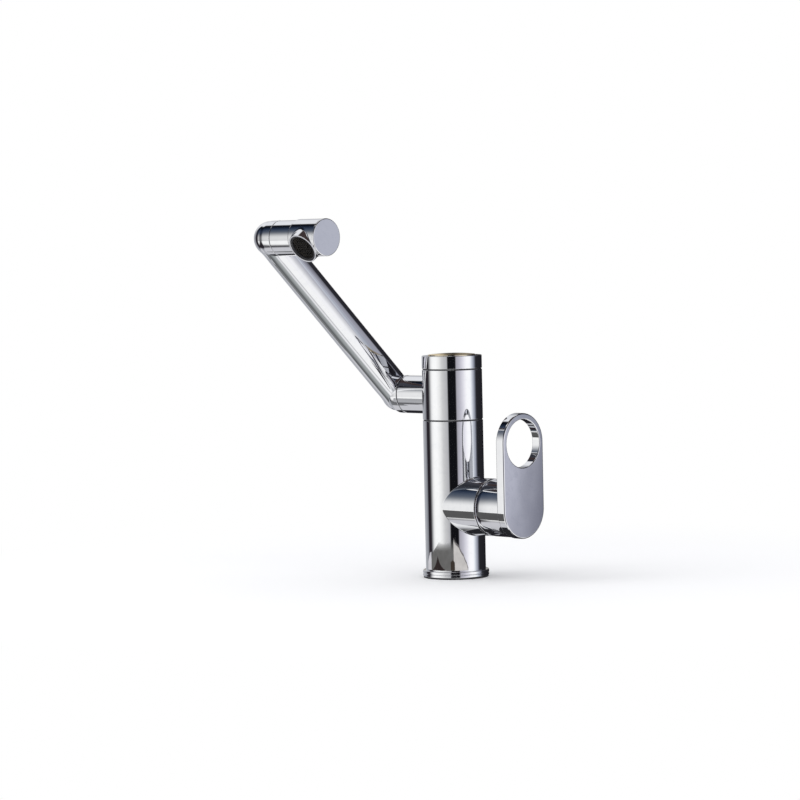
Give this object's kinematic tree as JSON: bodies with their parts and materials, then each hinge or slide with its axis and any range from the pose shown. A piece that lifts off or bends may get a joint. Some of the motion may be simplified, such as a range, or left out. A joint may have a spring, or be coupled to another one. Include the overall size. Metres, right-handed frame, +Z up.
{
  "type": "basin mixer tap",
  "caption": "Chrome single-lever basin mixer: round column with turning sleeve, side plate lever with finger eye, folding spout arm and turning outlet head.",
  "frame": {"origin": "centre of the foot on the deck, at the underside of the gasket", "axes": "+Z up along the column, -Y towards the bowl and the user, +X to the lever side"},
  "size_m": [0.1431, 0.1754, 0.2759],
  "materials": {
    "chrome_brass": "polished chrome on brass",
    "raw_brass": "machined brass",
    "steel": "bright stainless steel",
    "gilt_inlay": "satin champagne gold",
    "black_rubber": "matt black",
    "dark_polymer": "dark acetal",
    "grey_polymer": "grey acetal",
    "white_polymer": "ivory acetal",
    "white_ceramic": "lapped alumina"
  },
  "bodies": {
    "column": {"base_gasket": "black_rubber", "base_flange": "chrome_brass", "body_casting": "chrome_brass", "swivel_post": "raw_brass", "post_seals": "black_rubber", "swivel_stop_pin": "steel", "lower_slip_ring": "dark_polymer", "upper_slip_ring": "dark_polymer", "top_cap": "chrome_brass", "top_inlay": "gilt_inlay", "cartridge_base": "white_polymer", "cartridge_seals": "black_rubber", "fixed_disc": "white_ceramic", "cartridge_housing": "white_polymer", "cartridge_nut": "raw_brass"},
    "mixer_turn": {"cartridge_collar": "grey_polymer", "lever_pin": "steel"},
    "disc_slider": {"disc_carrier": "grey_polymer", "moving_disc": "white_ceramic"},
    "lever": {"cartridge_stem": "raw_brass", "handle_lever": "chrome_brass", "handle_grub_screw": "steel", "handle_screw_plug": "chrome_brass"},
    "sleeve": {"swivel_sleeve": "chrome_brass", "stub_grub_screw": "steel", "stub_slip_ring": "dark_polymer"},
    "arm": {"spout_arm": "chrome_brass", "stub_spigot": "raw_brass", "spigot_seals": "black_rubber", "head_union": "chrome_brass", "union_seal": "dark_polymer", "head_slip_ring": "dark_polymer"},
    "head": {"outlet_head": "chrome_brass", "neck_seals": "black_rubber", "neck_clip": "steel", "end_cap": "chrome_brass", "end_cap_seal": "dark_polymer", "aerator_washer": "black_rubber", "aerator_housing": "steel", "aerator_core": "dark_polymer", "aerator_mesh": "steel"}
  },
  "joints": [
    {"name": "spout_swivel", "type": "hinge", "parent": "column", "child": "sleeve", "pos_m": [0, 0, 0.1392], "axis": [0, 0, 1], "range_deg": [-120, 60]},
    {"name": "arm_fold", "type": "hinge", "parent": "sleeve", "child": "arm", "pos_m": [-0.0579, 0, 0.1392], "axis": [1, 0, 0], "range_deg": [-107, 73]},
    {"name": "head_swivel", "type": "hinge", "parent": "arm", "child": "head", "pos_m": [-0.0579, -0.13164, 0.26196], "axis": [1, 0, 0], "continuous": true},
    {"name": "temperature_turn", "type": "hinge", "parent": "column", "child": "mixer_turn", "pos_m": [0.047, 0, 0.055], "axis": [1, 0, 0], "range_deg": [-50, 50]},
    {"name": "flow_lift", "type": "hinge", "parent": "mixer_turn", "child": "lever", "pos_m": [0.047, 0, 0.055], "axis": [0, 1, 0], "range_deg": [0, 14]},
    {"name": "disc_slide", "type": "slide", "parent": "mixer_turn", "child": "disc_slider", "axis": [0, 0, 1], "range_m": [0, 0.0057]}
  ],
  "couplings": [
    {"joint": "disc_slide", "follows": "flow_lift", "m_per_rad": 0.023}
  ]
}
